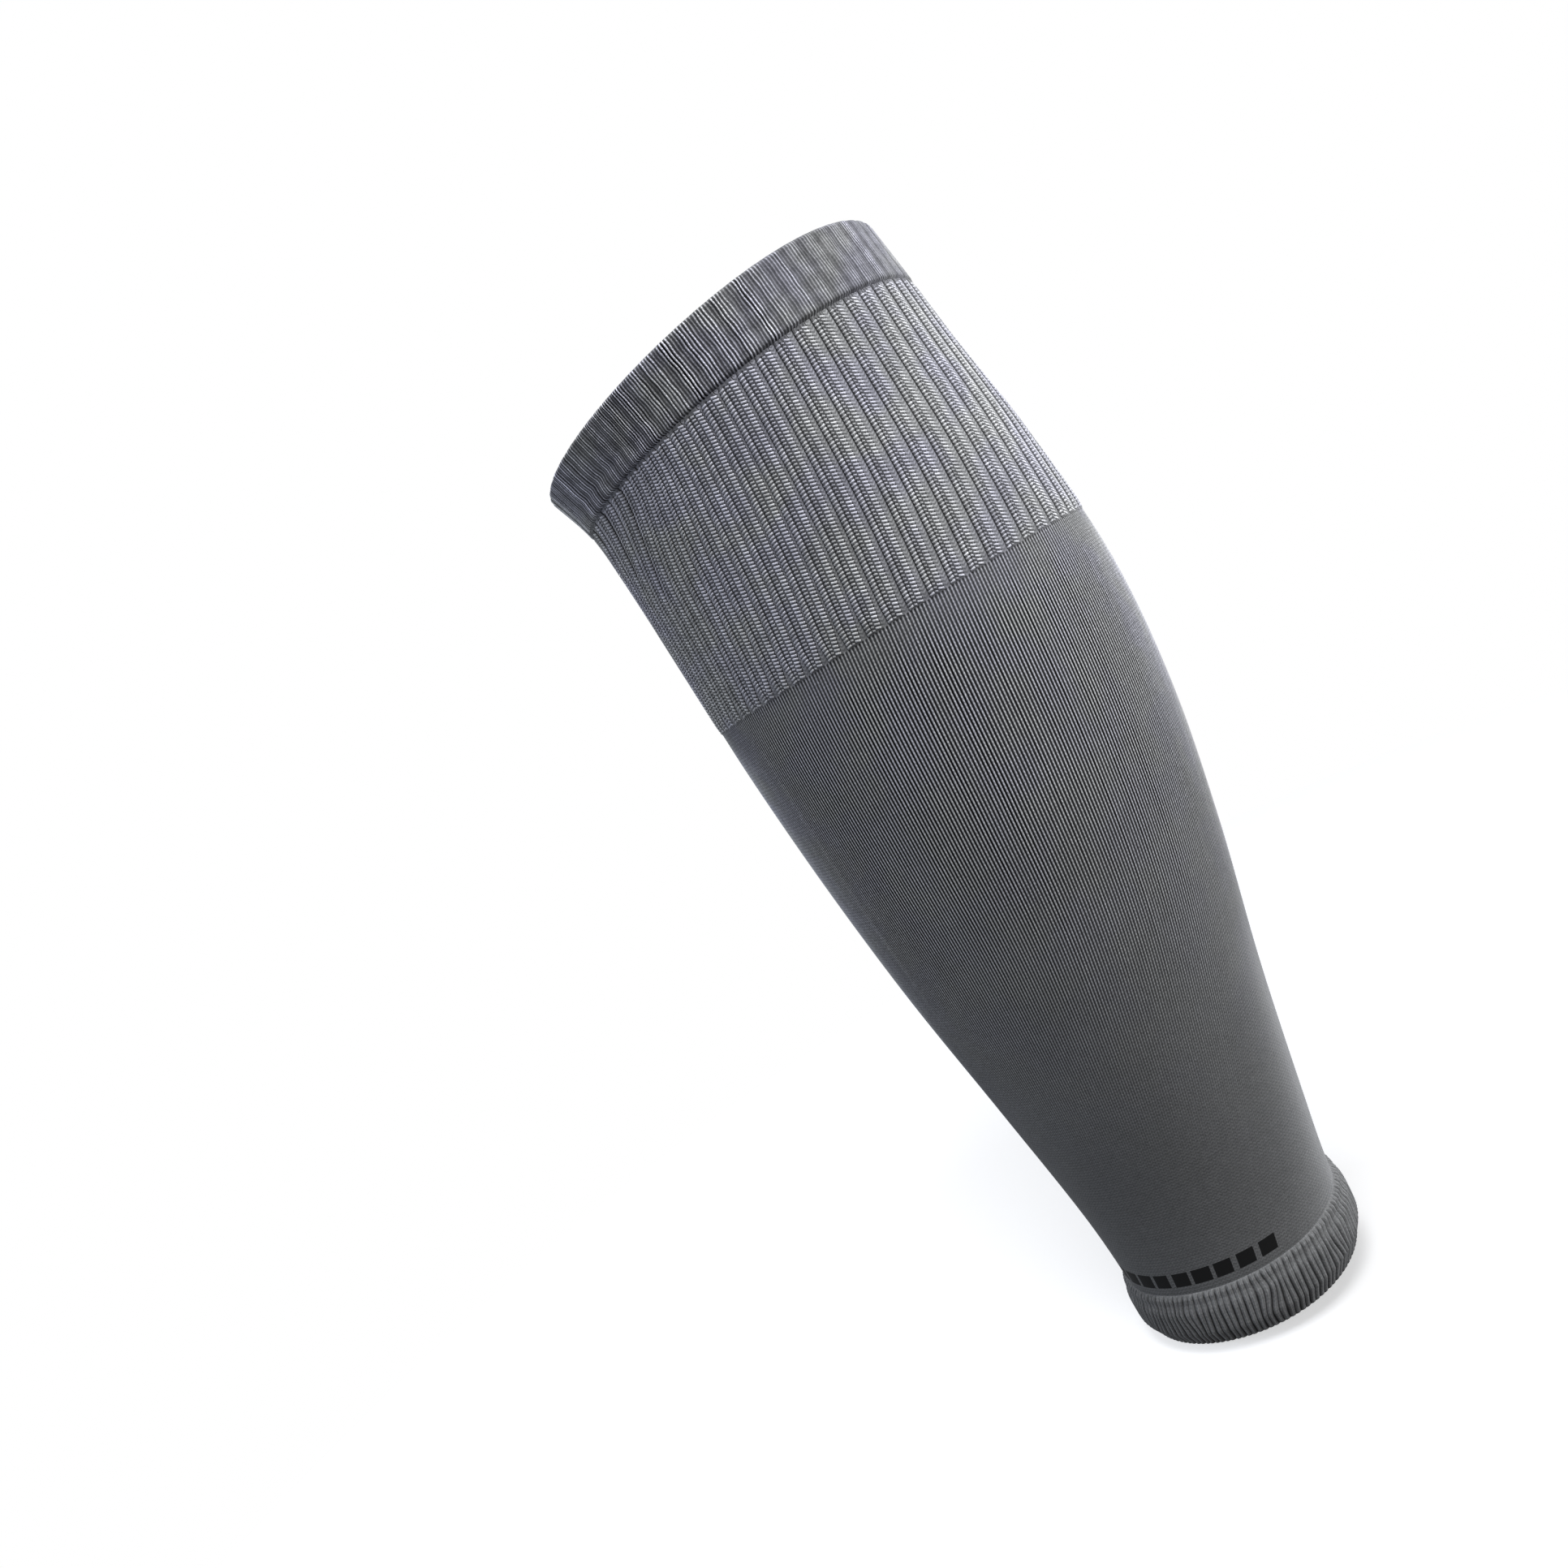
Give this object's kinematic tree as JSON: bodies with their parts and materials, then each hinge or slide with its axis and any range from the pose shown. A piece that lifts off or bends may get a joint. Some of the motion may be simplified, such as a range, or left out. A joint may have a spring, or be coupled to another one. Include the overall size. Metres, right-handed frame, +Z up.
{
  "type": "calf compression sleeve",
  "caption": "Knitted calf compression sleeve in the form it has on a leg: plain calf panel, broad ribbed panel, folded double cuff under the knee and gathered rib cuff at the ankle.",
  "frame": {"origin": "on the axis of the leg that wears the sleeve, at the level of the fullest part of the calf, where the sleeve grips", "axes": "+Z runs up the leg from the ankle to the knee, +X points to the back of the leg (the calf), -X to the shin, and +Y to the side away from the viewer"},
  "size_m": [0.1253, 0.1114, 0.3065],
  "materials": {
    "cuff_knit": "matt, dark grey fine rib",
    "rib_knit": "matt, blue-grey broad rib",
    "plain_knit": "matt, dark grey plain knit"
  },
  "bodies": {
    "root": {"top_cuff": "cuff_knit", "rib_panel": "rib_knit", "calf_panel": "plain_knit", "ankle_cuff": "cuff_knit"}
  },
  "joints": []
}
